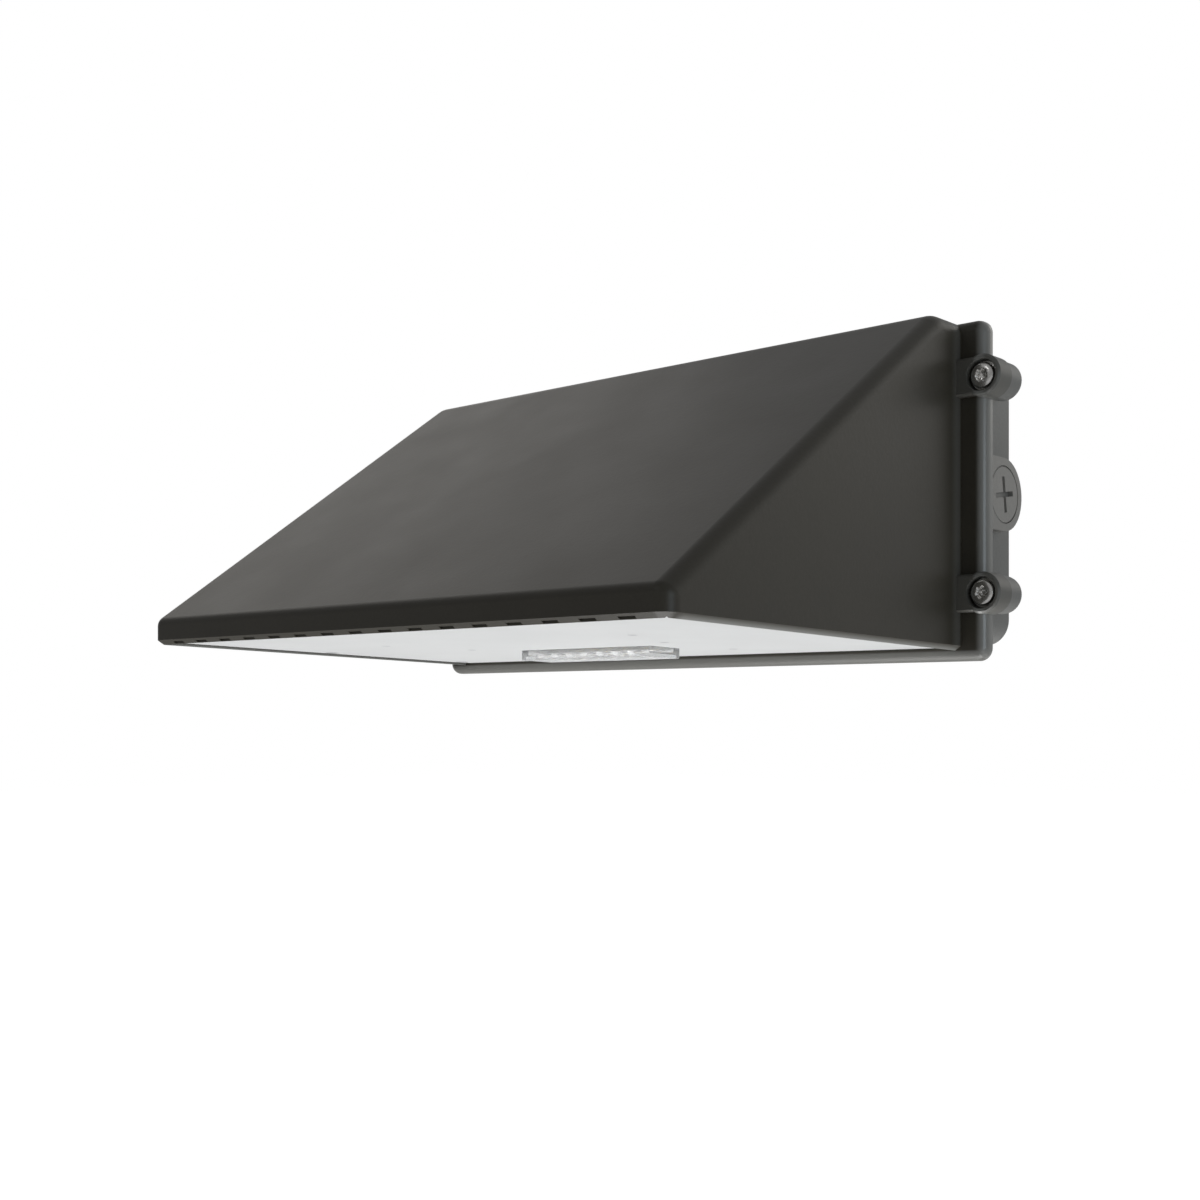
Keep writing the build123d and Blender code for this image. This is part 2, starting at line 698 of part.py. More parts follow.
def pan_screws(points, seat):
    """Small pan head screws whose heads stand on seat and whose tips stop in the tray."""
    with BuildPart(rim.offset(seat)) as screws:
        with Locations(*points):
            Cylinder(pan_head_radius, pan_head_height, align=SEATED)
        with Locations(*[(x, y, tray_low - seat) for x, y in points]):
            Cylinder(tray_screw_radius, seat - tray_low, align=SEATED)
        with Locations(*[(x, y, pan_head_height - slot_depth) for x, y in points]):
            Box(2 * pan_head_radius, slot_width, slot_depth, align=SEATED, mode=Mode.SUBTRACT)
    return screws


spreader_screws = pan_screws(spreader_points, spreader_high)
save(spreader_screws, "spreader_screws")

with BuildPart(rim.offset(spreader_low)) as lead_grommet:
    with Locations((-spreader_screw_x, optic_y)):
        Cylinder(lead_grommet_radius, spreader_base, align=SEATED)
    with Locations((-spreader_screw_x, optic_y, spreader_base)):
        Cylinder(lead_grommet_radius + lead_grommet_flange, lead_grommet_flange, align=SEATED)
save(lead_grommet, "lead_grommet")

# ---------------------------------------------------------------- driver
with BuildPart(rim.offset(tray_high)) as driver_case:
    with Locations((0, driver_y)):
        Box(driver_length - 2 * driver_cap, driver_depth, driver_height, align=SEATED)
    fillet(driver_case.edges().filter_by(Axis.X), driver_corner)
save(driver_case, "driver_case")

with BuildPart(rim.offset(tray_high)) as driver_end_caps:
    for side in (-1, 1):
        with Locations((side * (driver_length - driver_cap) / 2, driver_y)):
            Box(driver_cap, driver_depth, driver_height, align=SEATED)
        with Locations((side * (driver_length + driver_foot) / 2, driver_y)):
            Box(driver_foot, driver_foot_width, driver_foot_thickness, align=SEATED)
            Cylinder(
                tray_screw_radius + screw_clearance, driver_foot_thickness, align=SEATED, mode=Mode.SUBTRACT
            )
save(driver_end_caps, "driver_end_caps")

driver_screws = pan_screws(driver_points, tray_high + driver_foot_thickness)
save(driver_screws, "driver_screws")

with BuildPart(rim.offset(tray_high)) as supply_connector:
    with Locations((connector_x, connector_y)):
        Box(connector_width, connector_depth, connector_height, align=SEATED)
    fillet(supply_connector.edges().filter_by(Axis.X), terminal_corner)
save(supply_connector, "supply_connector")


# ---------------------------------------------------------------- leads
def lead(points):
    """A round lead along straight runs in the tray's frame, joined by the largest tangent arcs."""
    corners = [rim.from_local_coords(Vector(*point)) for point in points]
    runs = [after - before for before, after in zip(corners, corners[1:])]
    radii = []
    for first, second in zip(runs, runs[1:]):
        half_turn = radians(first.get_angle(second)) / 2
        radii.append(0.45 * min(first.length, second.length) / tan(half_turn))
    print("lead bends", [round(radius, 1) for radius in radii])
    with BuildPart() as wire:
        with BuildLine() as route:
            FilletPolyline(*corners, radius=radii)
        with BuildSketch(Plane(origin=route.line @ 0, z_dir=route.line % 0)):
            Circle(lead_radius)
        sweep(path=route.line)
    return wire


driver_left = -driver_length / 2
driver_right = driver_length / 2
grommet_x = -spreader_screw_x
connector_z = tray_high + connector_height / 2
positive_lead = lead(
    [
        (driver_left, driver_y - 0.4 * lead_step, 2.0 * lead_step),
        (driver_left - 1.3 * lead_step, driver_y - 0.4 * lead_step, 2.0 * lead_step),
        (driver_left - 2.2 * lead_step, driver_y + 1.4 * lead_step, 2.4 * lead_step),
        (driver_left - 1.8 * lead_step, driver_y + 3.7 * lead_step, 3.0 * lead_step),
        (grommet_x - 1.2 * lead_step, optic_y - 0.7 * lead_step, 3.5 * lead_step),
        (grommet_x + lead_apart, optic_y, 3.1 * lead_step),
        (grommet_x + lead_apart, optic_y, lead_exit),
    ]
)
negative_lead = lead(
    [
        (driver_left, driver_y + 0.3 * lead_step, 1.4 * lead_step),
        (driver_left - 1.0 * lead_step, driver_y + 0.3 * lead_step, 1.4 * lead_step),
        (driver_left - 1.7 * lead_step, driver_y + 1.8 * lead_step, 1.7 * lead_step),
        (driver_left - 1.4 * lead_step, driver_y + 3.9 * lead_step, 2.3 * lead_step),
        (grommet_x - 1.3 * lead_step, optic_y - 0.4 * lead_step, 2.8 * lead_step),
        (grommet_x - lead_apart, optic_y, 2.6 * lead_step),
        (grommet_x - lead_apart, optic_y, lead_exit),
    ]
)
live_lead = lead(
    [
        (driver_right, driver_y - 0.6 * lead_step, 2.0 * lead_step),
        (driver_right + 1.4 * lead_step, driver_y - 0.6 * lead_step, 2.0 * lead_step),
        (driver_right + 3.3 * lead_step, driver_y + 0.6 * lead_step, 1.8 * lead_step),
        (connector_x + 0.3 * lead_step, driver_y + 2.9 * lead_step, 1.3 * lead_step),
        (connector_x + 0.2 * lead_step, connector_front - 1.4 * lead_step, connector_z),
        (connector_x + 0.2 * lead_step, connector_front, connector_z),
    ]
)
neutral_lead = lead(
    [
        (driver_right, driver_y + 0.3 * lead_step, 1.4 * lead_step),
        (driver_right + 1.2 * lead_step, driver_y + 0.3 * lead_step, 1.4 * lead_step),
        (driver_right + 2.7 * lead_step, driver_y + 1.4 * lead_step, 1.2 * lead_step),
        (connector_x - 0.4 * lead_step, driver_y + 3.3 * lead_step, 0.98 * lead_step),
        (connector_x - 0.2 * lead_step, connector_front - 1.3 * lead_step, connector_z),
        (connector_x - 0.2 * lead_step, connector_front, connector_z),
    ]
)
save(positive_lead, "positive_lead")
save(negative_lead, "negative_lead")
save(live_lead, "live_lead")
save(neutral_lead, "neutral_lead")
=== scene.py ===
"""Full cutoff wall pack light: finishes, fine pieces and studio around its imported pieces.

The wall face is the plane y = 0, the light points to -Y and shines down, +Z is up and x = 0 is
the middle. Everything is in metres.
"""
import math

import bpy
import numpy as np
from bpy.props import FloatProperty, FloatVectorProperty, PointerProperty
from bpy.types import Operator, Panel, PropertyGroup
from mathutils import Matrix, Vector


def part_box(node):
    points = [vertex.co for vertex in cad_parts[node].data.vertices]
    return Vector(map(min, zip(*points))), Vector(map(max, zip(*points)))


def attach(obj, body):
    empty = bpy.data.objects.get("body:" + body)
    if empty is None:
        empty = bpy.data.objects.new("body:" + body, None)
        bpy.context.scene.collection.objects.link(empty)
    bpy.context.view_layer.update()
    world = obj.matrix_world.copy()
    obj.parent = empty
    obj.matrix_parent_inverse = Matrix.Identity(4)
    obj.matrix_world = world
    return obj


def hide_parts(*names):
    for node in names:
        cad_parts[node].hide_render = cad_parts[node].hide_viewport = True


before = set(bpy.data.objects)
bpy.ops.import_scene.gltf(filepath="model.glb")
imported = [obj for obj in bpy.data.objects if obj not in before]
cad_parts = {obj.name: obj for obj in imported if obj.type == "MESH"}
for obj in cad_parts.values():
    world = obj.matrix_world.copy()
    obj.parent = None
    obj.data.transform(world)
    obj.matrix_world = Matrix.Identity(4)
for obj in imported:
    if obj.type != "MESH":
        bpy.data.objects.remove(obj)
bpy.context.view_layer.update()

bl_info = {
    "name": "Wall pack light",
    "version": (1, 0, 0),
    "blender": (4, 5, 0),
    "location": "View3D > Sidebar > Wall pack",
    "description": "Finishes, fine pieces and studio for a full cutoff wall pack light",
    "category": "Object",
}

# sizes from the part's source that no packed box gives
HUB_HEIGHT = 0.0049                 # hubs beyond the box's sides
EAR_RADIUS = 0.0080
RIM_BACK = (-0.0324, -0.0570)       # y and z where the lower rim meets the flange's front
RIM_TILT = math.radians(1.545)      # the rim rises by this towards the lip

# captive cover screws
SCREW_HEAD_RADIUS = 0.0050
SCREW_HEAD_HEIGHT = 0.0030
SCREW_RADIUS = 0.0025
THREAD_PITCH = 0.0008
RECESS_RADIUS = 0.0022
RECESS_LOBES = 6

# moulded optic
OPTIC_HALF_WIDTH = 0.0365
OPTIC_HALF_DEPTH = 0.0095
OPTIC_AHEAD = 0.0530                # its middle ahead of the flange
LENS_FLOOR = -0.0014                # the face between the lenses, from the rim's plane
LENS_PITCH = 0.0086
LENS_COLUMNS = 7
LENS_RADIUS = 0.0041
LENS_DEPTH = 0.0015
LENS_DIMPLE = 0.0004


def node_box(name):
    """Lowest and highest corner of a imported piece, as arrays."""
    low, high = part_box(name)
    return np.array(low), np.array(high)


housing_low, housing_high = node_box("front_housing")
plug_high = node_box("right_conduit_plug")[1]
screws_low, screws_high = node_box("cover_screws")
flange_side = housing_high[0] - EAR_RADIUS


# ---------------------------------------------------------------- shader maths
class Wire:
    """One shader socket. Arithmetic between wires and numbers adds Math nodes to its tree."""

    def __init__(self, shading, socket):
        self.shading = shading
        self.socket = socket

    def math(self, operation, *others):
        return self.shading.math(operation, self, *others)

    def __add__(self, other):
        return self.math("ADD", other)

    def __radd__(self, other):
        return self.math("ADD", other)

    def __sub__(self, other):
        return self.math("SUBTRACT", other)

    def __rsub__(self, other):
        return self.shading.math("SUBTRACT", other, self)

    def __mul__(self, other):
        return self.math("MULTIPLY", other)

    def __rmul__(self, other):
        return self.math("MULTIPLY", other)

    def clamped(self):
        """This value kept between 0 and 1."""
        return self.math("MAXIMUM", 0.0).math("MINIMUM", 1.0)

    def smooth(self, low, high):
        """0 below low, 1 above high, and a smooth step between."""
        settings = {"interpolation_type": "SMOOTHSTEP"}
        sockets = {"Value": self, "From Min": low, "From Max": high}
        return self.shading.node("ShaderNodeMapRange", settings, sockets, "Result")


class Shading:
    """A node tree that is filled by expressions on wires."""

    def __init__(self, tree):
        self.tree = tree
        tree.nodes.clear()

    def node(self, kind, settings=None, sockets=None, output=0):
        """Add a node: its settings first, then its sockets' values or links. Gives one output as a wire."""
        made = self.tree.nodes.new(kind)
        for name, value in (settings or {}).items():
            setattr(made, name, value)
        for name, value in (sockets or {}).items():
            if isinstance(value, Wire):
                self.tree.links.new(value.socket, made.inputs[name])
            else:
                made.inputs[name].default_value = value
        return Wire(self, made.outputs[output]) if made.outputs else None

    def math(self, operation, *values):
        return self.node("ShaderNodeMath", {"operation": operation}, dict(enumerate(values)))

    def mix_colours(self, share, first, second):
        """The colour between first and second, by share."""
        sockets = {0: share, 6: first, 7: second}
        return self.node("ShaderNodeMix", {"data_type": "RGBA"}, sockets, 2)

    def place(self):
        """Where the shaded point is, in the object's own space."""
        return self.node("ShaderNodeTexCoord", output="Object")

    def axis(self, name):
        """One coordinate of the shaded point, in the object's own space."""
        return self.node("ShaderNodeSeparateXYZ", None, {"Vector": self.place()}, name)

    def noise(self, size, detail=2.0, roughness=0.5, place=None, distortion=0.0):
        """Noise from 0 to 1 with cells of the given size in metres."""
        sockets = {
            "Vector": place or self.place(),
            "Scale": 1.0 / size,
            "Detail": detail,
            "Roughness": roughness,
            "Distortion": distortion,
        }
        return self.node("ShaderNodeTexNoise", None, sockets, 0)

    def bump(self, height, distance):
        """A normal from a height of 0 to 1 that stands for distance in metres."""
        sockets = {"Height": height, "Distance": distance, "Strength": 1.0}
        return self.node("ShaderNodeBump", None, sockets, "Normal")

    def surface(self, sockets):
        """End the tree in a principled surface."""
        shader = self.node("ShaderNodeBsdfPrincipled", None, sockets, "BSDF")
        self.node("ShaderNodeOutputMaterial", None, {"Surface": shader})


def new_material(name):
    """A material with an empty tree, and the shading that fills it."""
    material = bpy.data.materials.new(name)
    material.use_nodes = True
    return material, Shading(material.node_tree)


def rgba(colour):
    return (*colour, 1.0)


def scaled(colour, factor):
    """A colour made lighter or darker, with its hue kept."""
    return rgba([min(1.0, part * factor) for part in colour])


# ---------------------------------------------------------------- finishes
def powder_coat(name, colour, roughness, peel, second=None, where=None, glossy=None, cloud=0.07):
    """Baked powder coat: a fine orange peel, faint mottling and a satin sheen.

    The functions where and glossy take the shading and give the share of the second colour and of a
    glossy top coat. The colour varies by the share cloud either way.
    """
    material, shade = new_material(name)
    mottle = shade.noise(0.035, 3.0, 0.55)
    speckle = shade.noise(0.0011, 1.0)
    share = (mottle * 0.7 + speckle * 0.3).smooth(0.30, 0.70)
    base = shade.mix_colours(share, scaled(colour, 1.0 - cloud), scaled(colour, 1.0 + cloud))
    if second:
        base = shade.mix_colours(where(shade), base, rgba(second))
    grain = shade.noise(0.0016, 2.0, 0.55)
    waves = shade.noise(0.0060, 1.0)
    normal = shade.bump(grain * 0.6 + waves * 0.4, peel)
    sockets = {
        "Base Color": base,
        "Roughness": mottle * 0.10 + (roughness - 0.05),
        "Specular IOR Level": 0.4,
        "Normal": normal,
    }
    if glossy:
        sockets["Coat Weight"] = glossy(shade)
        sockets["Coat Roughness"] = 0.18
    shade.surface(sockets)
    return material


def on_hubs_painted_light(shade):
    """1 on the conduit hubs, which stand out from the box's sides and take a paler colour of painted light,
    and 0 elsewhere.
    """
    side = plug_high[0] - HUB_HEIGHT
    reach = 0.0210                  # the hubs lie within this above and below the middle
    across = shade.axis("X").math("ABSOLUTE")
    near_middle = shade.axis("Z").math("ABSOLUTE").smooth(reach + 0.001, reach)
    return across.smooth(side + 0.0003, side + 0.0010) * near_middle


def above_rim(shade):
    """Height of the shaded point above the plane of the light's lower rim."""
    slope = math.tan(RIM_TILT)
    level = RIM_BACK[1] + RIM_BACK[0] * slope
    return shade.axis("Z") + shade.axis("Y") * slope - level


def painted_light_on_edges(shade):
    """Share of painted light, a paler colour: the flange's strip below the rim, its sides and the ears' outer
    halves.

    It also grows down the chamfer under each cheek as painted light, and lies thinly in the crease of cheek
    and flange as paint that lightens its shade.
    The offsets are in metres, and give each mask a soft edge 1 to 8 mm wide.
    """
    strip_share, ear_share, crease_share = 0.68, 0.50, 0.32
    crease_start, crease_full = 0.128, 0.136        # from the middle; the cheek's face is at 0.1403
    across = shade.axis("X").math("ABSOLUTE")
    depth = shade.axis("Y")
    wall_end, lip_end, underside = housing_high[1], housing_low[1], housing_low[2]
    rim_end = RIM_BACK[0]

    # each mask below places painted light; in the crease it lightens the shade
    strip = shade.axis("Z").smooth(underside + 0.0044, underside + 0.0034)
    strip = strip * depth.smooth(wall_end - 0.0085, wall_end - 0.0075) * strip_share
    side = across.smooth(flange_side - 0.0046, flange_side - 0.0014)
    ears = 1.0 - across.smooth(flange_side + 0.0003, flange_side + 0.0024) * ear_share
    chamfer = above_rim(shade).smooth(0.0019, -0.0001)
    chamfer = chamfer * depth.smooth(lip_end + 0.0045, lip_end + 0.0100)
    chamfer = chamfer * depth.smooth(rim_end, rim_end - 0.001)
    crease = depth.smooth(rim_end - 0.0085, rim_end - 0.0030) * across.smooth(crease_start, crease_full)
    crease = crease * depth.smooth(rim_end - 0.0004, rim_end - 0.0014) * crease_share
    return strip.math("MAXIMUM", side * ears).math("MAXIMUM", chamfer).math("MAXIMUM", crease)


def on_flange_side(shade):
    """1 on the rounding down the flange's sides, whose coat is glossier, and 0 elsewhere."""
    across = shade.axis("X").math("ABSOLUTE")
    inner = across.smooth(flange_side - 0.0042, flange_side - 0.0016)
    outer = across.smooth(flange_side + 0.0010, flange_side - 0.0004)
    return inner * outer


def metal(name, colour, roughness, brushed=None):
    """Bare or plated metal: fine handling marks, and brushed along one axis where asked."""
    material, shade = new_material(name)
    place = shade.place()
    if brushed:
        place = shade.node("ShaderNodeMapping", {"vector_type": "POINT"}, {"Vector": place, "Scale": brushed})
    lines = shade.noise(0.0009, 3.0, 0.6, place)
    cloud = shade.noise(0.009, 2.0)
    share = (lines * 0.6 + cloud * 0.4).smooth(0.3, 0.7)
    base = shade.mix_colours(share, scaled(colour, 0.88), scaled(colour, 1.08))
    shade.surface({
        "Base Color": base,
        "Metallic": 1.0,
        "Roughness": (lines * 0.16 + cloud * 0.08 + (roughness - 0.12)).clamped(),
        "Normal": shade.bump(lines, 0.000012),
    })
    return material


def moulding(name, colour, roughness):
    """Moulded plastic or rubber: a fine spark-eroded grain and slight flow marks."""
    material, shade = new_material(name)
    fine = shade.noise(0.0008, 2.0, 0.6)
    flow = shade.noise(0.014, 2.0, 0.5, distortion=0.6)
    base = shade.mix_colours(flow.smooth(0.3, 0.7), scaled(colour, 0.90), scaled(colour, 1.08))
    shade.surface({
        "Base Color": base,
        "Roughness": (fine * 0.12 + flow * 0.08 + (roughness - 0.10)).clamped(),
        "Normal": shade.bump(fine, 0.00002),
    })
    return material


def clear_moulding(name, colour, roughness, clearness):
    """Optical plastic with a faint cool tint and slight flow marks, part clear and part diffusing."""
    material, shade = new_material(name)
    flow = shade.noise(0.004, 1.0)
    base = shade.mix_colours(flow.smooth(0.3, 0.7), scaled(colour, 0.97), scaled(colour, 1.02))
    shade.surface({
        "Base Color": base,
        "Roughness": (flow * 0.04 + roughness).clamped(),
        "IOR": 1.49,
        "Transmission Weight": clearness,
    })
    return material


def dress(material, *names):
    """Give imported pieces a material."""
    for name in names:
        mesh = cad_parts[name].data
        mesh.materials.clear()
        mesh.materials.append(material)


# ---------------------------------------------------------------- pieces from formulas
def add_piece(name, points, face_groups, material, body):
    """A smooth closed mesh on a CAD body, from an array of points and arrays of faces."""
    mesh = bpy.data.meshes.new(name)
    mesh.from_pydata(points.tolist(), [], sum((group.tolist() for group in face_groups), []))
    mesh.shade_smooth()
    mesh.set_sharp_from_angle(angle=math.radians(32.0))
    mesh.materials.append(material)
    piece = bpy.data.objects.new(name, mesh)
    bpy.context.scene.collection.objects.link(piece)
    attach(piece, body)
    return piece


def ring_quads(count, sides):
    """Faces between rings: ring i joins ring i + 1, and the last side joins the first."""
    i, j = np.meshgrid(np.arange(count - 1), np.arange(sides), indexing="ij")
    after = (j + 1) % sides
    quads = np.stack([i * sides + j, i * sides + after, (i + 1) * sides + after, (i + 1) * sides + j], -1)
    return quads.reshape(-1, 4)


def swept(rings):
    """Points and faces of a closed form from an array of rings x sides x 3, one face closing each end."""
    count, sides, _ = rings.shape
    side = np.arange(sides)
    ends = np.stack([side[::-1], (count - 1) * sides + side])
    return rings.reshape(-1, 3), [ring_quads(count, sides), ends]


def turned(rings):
    """Points and faces of a closed turned form from an array of rings x sides x 3.

    A point in the middle of each end ring closes the form with a fan of triangles.
    """
    count, sides, _ = rings.shape
    points = np.vstack([rings.reshape(-1, 3), rings[0].mean(0), rings[-1].mean(0)])
    side = np.arange(sides)
    after = (side + 1) % sides
    last_ring = (count - 1) * sides
    first_fan = np.stack([np.full(sides, count * sides), after, side], -1)
    last_fan = np.stack([np.full(sides, count * sides + 1), last_ring + side, last_ring + after], -1)
    fans = np.stack([first_fan, last_fan], 1).reshape(-1, 3)
    return points, [ring_quads(count, sides), fans]


def joined(forms):
    """Several forms, each its points and its arrays of faces, as one."""
    starts = np.cumsum([0] + [len(points) for points, _ in forms])
    face_groups = [group + start for (_, groups), start in zip(forms, starts) for group in groups]
    return np.vstack([points for points, _ in forms]), face_groups


def rings_about_axis(radii, heights, angle):
    """Rings r(a) cos a, r(a) sin a, height: radii and heights have a row for each ring."""
    radii, heights, angle = np.broadcast_arrays(radii, heights, angle)
    return np.stack([radii * np.cos(angle), radii * np.sin(angle), heights], -1)


def socket_screw(length):
    """Rings of a pan head screw with a lobed recess, its seat at height 0 and its tip at -length.

    The head's rings are r(a) = radius (1 + lobe cos(lobes a)). They run from the middle of the
    recess's floor up its wall, over the crowned head and under it. On the shank, at a distance down
    from the seat, the radius follows the thread: shank - depth |2 frac(down / pitch - a / 2 pi) - 1|.
    Its depth grows over the first two pitches and lessens a little before the tip.
    """
    angle = np.linspace(0.0, 2.0 * math.pi, 48, endpoint=False)
    recess, head, tall = RECESS_RADIUS, SCREW_HEAD_RADIUS, SCREW_HEAD_HEIGHT
    floor = 0.45 * tall
    mouth = 1.10 * recess
    # each row is a ring's radius, its height and the depth of its lobes
    socket = [
        (0.30 * recess, floor - 0.0003, 0.0),
        (0.55 * recess, floor, 0.10),
        (0.90 * recess, floor, 0.16),
        (0.97 * recess, floor + 0.0002, 0.16),
        (recess, 0.96 * tall, 0.16),
        (mouth, tall, 0.13),
    ]
    bend = 0.5 * math.pi * np.linspace(0.12, 1.0, 9)
    crown = np.column_stack([
        mouth + (head - mouth) * np.sin(bend) ** 0.9,
        tall * (0.30 + 0.70 * np.cos(bend) ** 0.55),
        np.zeros_like(bend),
    ])
    under = [(head, 0.12 * tall, 0.0), (0.97 * head, 0.0, 0.0), (1.02 * SCREW_RADIUS, 0.0, 0.0)]
    radius, height, lobe = np.vstack([socket, crown, under]).T[:, :, None]
    head_rings = rings_about_axis(radius * (1.0 + lobe * np.cos(RECESS_LOBES * angle)), height, angle)

    down = np.arange(0.0003, length - 0.0006, THREAD_PITCH / 6.0)[:, None]
    share = np.mod(down / THREAD_PITCH - angle / (2.0 * math.pi), 1.0)
    run_in = down / (2.0 * THREAD_PITCH)
    run_out = (length - down) / THREAD_PITCH
    thread_depth = 0.55 * THREAD_PITCH * np.minimum(1.0, np.minimum(run_in, run_out))
    thread = rings_about_axis(SCREW_RADIUS - thread_depth * np.abs(2.0 * share - 1.0), -down, angle)
    tip = rings_about_axis(np.array([[0.72 * SCREW_RADIUS]]), np.array([[-length]]), angle)
    return np.concatenate([head_rings, thread, tip])


def placed(rings, origin, along, turn):
    """Rings spun by turn about their height axis, then laid with that axis along, from origin."""
    along = Vector(along).normalized()
    across = along.orthogonal().normalized()
    basis = np.array([across, along.cross(across), along])
    cos, sin = math.cos(turn), math.sin(turn)
    spin = np.array([[cos, sin, 0.0], [-sin, cos, 0.0], [0.0, 0.0, 1.0]])
    return rings @ spin @ basis + np.array(origin)


def rounded_ring(half_width, half_depth, corner):
    """Points of a rectangle with round corners, anticlockwise from its right side, as an array of sides x 2.

    Every ring has the same counts of points, so that two rings join point to point.
    """
    long_count, short_count, corner_count = 96, 28, 7
    corner = min(corner, half_width, half_depth)
    u, v = half_width - corner, half_depth - corner
    across = np.linspace(0.0, 1.0, long_count, endpoint=False)
    upward = np.linspace(0.0, 1.0, short_count, endpoint=False)
    quarter = 0.5 * math.pi * np.linspace(0.0, 1.0, corner_count, endpoint=False)
    parts = [
        (np.full(short_count, half_width), -v + 2 * v * upward),
        (u + corner * np.cos(quarter), v + corner * np.sin(quarter)),
        (u - 2 * u * across, np.full(long_count, half_depth)),
        (-u - corner * np.sin(quarter), v + corner * np.cos(quarter)),
        (np.full(short_count, -half_width), v - 2 * v * upward),
        (-u - corner * np.cos(quarter), -v - corner * np.sin(quarter)),
        (-u + 2 * u * across, np.full(long_count, -half_depth)),
        (u + corner * np.sin(quarter), -v - corner * np.cos(quarter)),
    ]
    return np.concatenate([np.stack(part, -1) for part in parts])


def lens_depth(ring):
    """How far the lenses stand out at each point of a ring: two rows over the LED chips.

    With q the squared distance from a lens's middle over radius squared, a lens is depth (1 - q) ^ 0.6,
    less dimple exp(-12 q) in its middle.
    """
    across = (np.arange(LENS_COLUMNS) - (LENS_COLUMNS - 1) / 2) * LENS_PITCH
    rows = np.array([-0.5, 0.5]) * LENS_PITCH
    middles = np.stack(np.meshgrid(across, rows), -1).reshape(-1, 1, 2)
    near = ((ring - middles) ** 2).sum(-1) / LENS_RADIUS ** 2
    lenses = LENS_DEPTH * np.clip(1.0 - near, 0.0, 1.0) ** 0.6 - LENS_DIMPLE * np.exp(-12.0 * near)
    return np.maximum(lenses.max(0), 0.0)


def optic_rings():
    """Rings of the moulded optic in the rim's frame: across, towards the wall and above the rim's plane.

    The path starts in the middle of the outer face, passes its lenses, runs over the frame round them,
    up the side, round the flange above the tray, down the pocket's wall and in over its floor.
    """
    frame_width = 0.0016
    # each row is a ring's inset from the block's sides, its height and its corners' radius
    outside = [
        (0.0015, -0.0026, 0.0007), (0.0012, -0.0030, 0.0007), (0.0004, -0.0030, 0.0009),
        (0.0001, -0.0029, 0.0010), (0.0, -0.0026, 0.0010), (0.0, 0.0027, 0.0010),
    ]
    flange = [(-0.0050, 0.0027, 0.0025), (-0.0050, 0.0047, 0.0025)]
    pocket = [
        (0.0025, 0.0047, 0.0008), (0.0026, -0.0003, 0.0008), (0.0028, -0.0005, 0.0007),
        (0.0050, -0.0005, 0.0004), (OPTIC_HALF_DEPTH - 0.0001, -0.0005, 0.00002),
    ]
    path = []
    for share in np.linspace(0.0, 1.0, 34):
        inset = frame_width + (1.0 - share) * (OPTIC_HALF_DEPTH - frame_width - 0.0001)
        ring = rounded_ring(OPTIC_HALF_WIDTH - inset, OPTIC_HALF_DEPTH - inset, 0.0006 * share + 0.00002)
        path.append((ring, LENS_FLOOR - lens_depth(ring)))
    for inset, height, corner in outside + flange + pocket:
        ring = rounded_ring(OPTIC_HALF_WIDTH - inset, OPTIC_HALF_DEPTH - inset, corner)
        path.append((ring, np.full(len(ring), height)))
    return np.array([np.column_stack([ring, height]) for ring, height in path])


def from_rim(points, ahead):
    """Points of the rim's frame, their middle moved ahead of the flange, in the light's frame."""
    lean = np.array([[1.0, 0.0, 0.0],
                     [0.0, math.cos(RIM_TILT), -math.sin(RIM_TILT)],
                     [0.0, math.sin(RIM_TILT), math.cos(RIM_TILT)]])
    return (points - np.array([0.0, ahead, 0.0])) @ lean + np.array([0.0, *RIM_BACK])


# ---------------------------------------------------------------- settings
class CastingSettings(PropertyGroup):
    """Powder-coated castings."""

    bronze: FloatVectorProperty(
        name="Housing bronze", description="Colour of the front housing's powder coat",
        subtype="COLOR", size=3, min=0.0, max=1.0, default=(0.0485, 0.0440, 0.0330))
    # painted light: the wall box's bronze is the housing's paint made lighter, for the brighter light on the
    # box
    box_bronze_painted_lighter: FloatVectorProperty(
        name="Box bronze", description="Colour of the wall box's powder coat",
        subtype="COLOR", size=3, min=0.0, max=1.0, default=(0.215, 0.215, 0.206))
    # painted light: a paler colour where light falls on the housing's edges, and in its crease
    painted_light_colour: FloatVectorProperty(
        name="Painted light on edges", description="Painted light on the flange's strip, sides, ears, chamfer and crease",
        subtype="COLOR", size=3, min=0.0, max=1.0, default=(0.240, 0.240, 0.226))
    # painted light: the hubs and their plugs are painted paler than the box's bronze
    hub_grey_painted_light: FloatVectorProperty(
        name="Hub grey", description="Colour of the conduit hubs and their plugs",
        subtype="COLOR", size=3, min=0.0, max=1.0, default=(0.335, 0.325, 0.305))
    sheen: FloatProperty(
        name="Roughness", description="Roughness of the satin powder coat",
        subtype="FACTOR", min=0.0, max=1.0, default=0.40)
    peel: FloatProperty(
        name="Orange peel", description="Depth of the powder coat's fine relief",
        subtype="DISTANCE", unit="LENGTH", min=0.0, default=0.00006)


class LampSettings(PropertyGroup):
    """Tray, optic and board."""

    white: FloatVectorProperty(
        name="Tray white", description="Colour of the reflector tray's powder coat",
        subtype="COLOR", size=3, min=0.0, max=1.0, default=(0.80, 0.81, 0.81))
    clear: FloatVectorProperty(
        name="Optic tint", description="Tint of the clear moulded optic",
        subtype="COLOR", size=3, min=0.0, max=1.0, default=(0.98, 0.99, 1.0))
    clearness: FloatProperty(
        name="Clearness", description="How clear the optic is, against how much it diffuses",
        subtype="FACTOR", min=0.0, max=1.0, default=0.8)
    phosphor: FloatVectorProperty(
        name="Phosphor", description="Colour of the unlit LED chips",
        subtype="COLOR", size=3, min=0.0, max=1.0, default=(0.90, 0.62, 0.10))


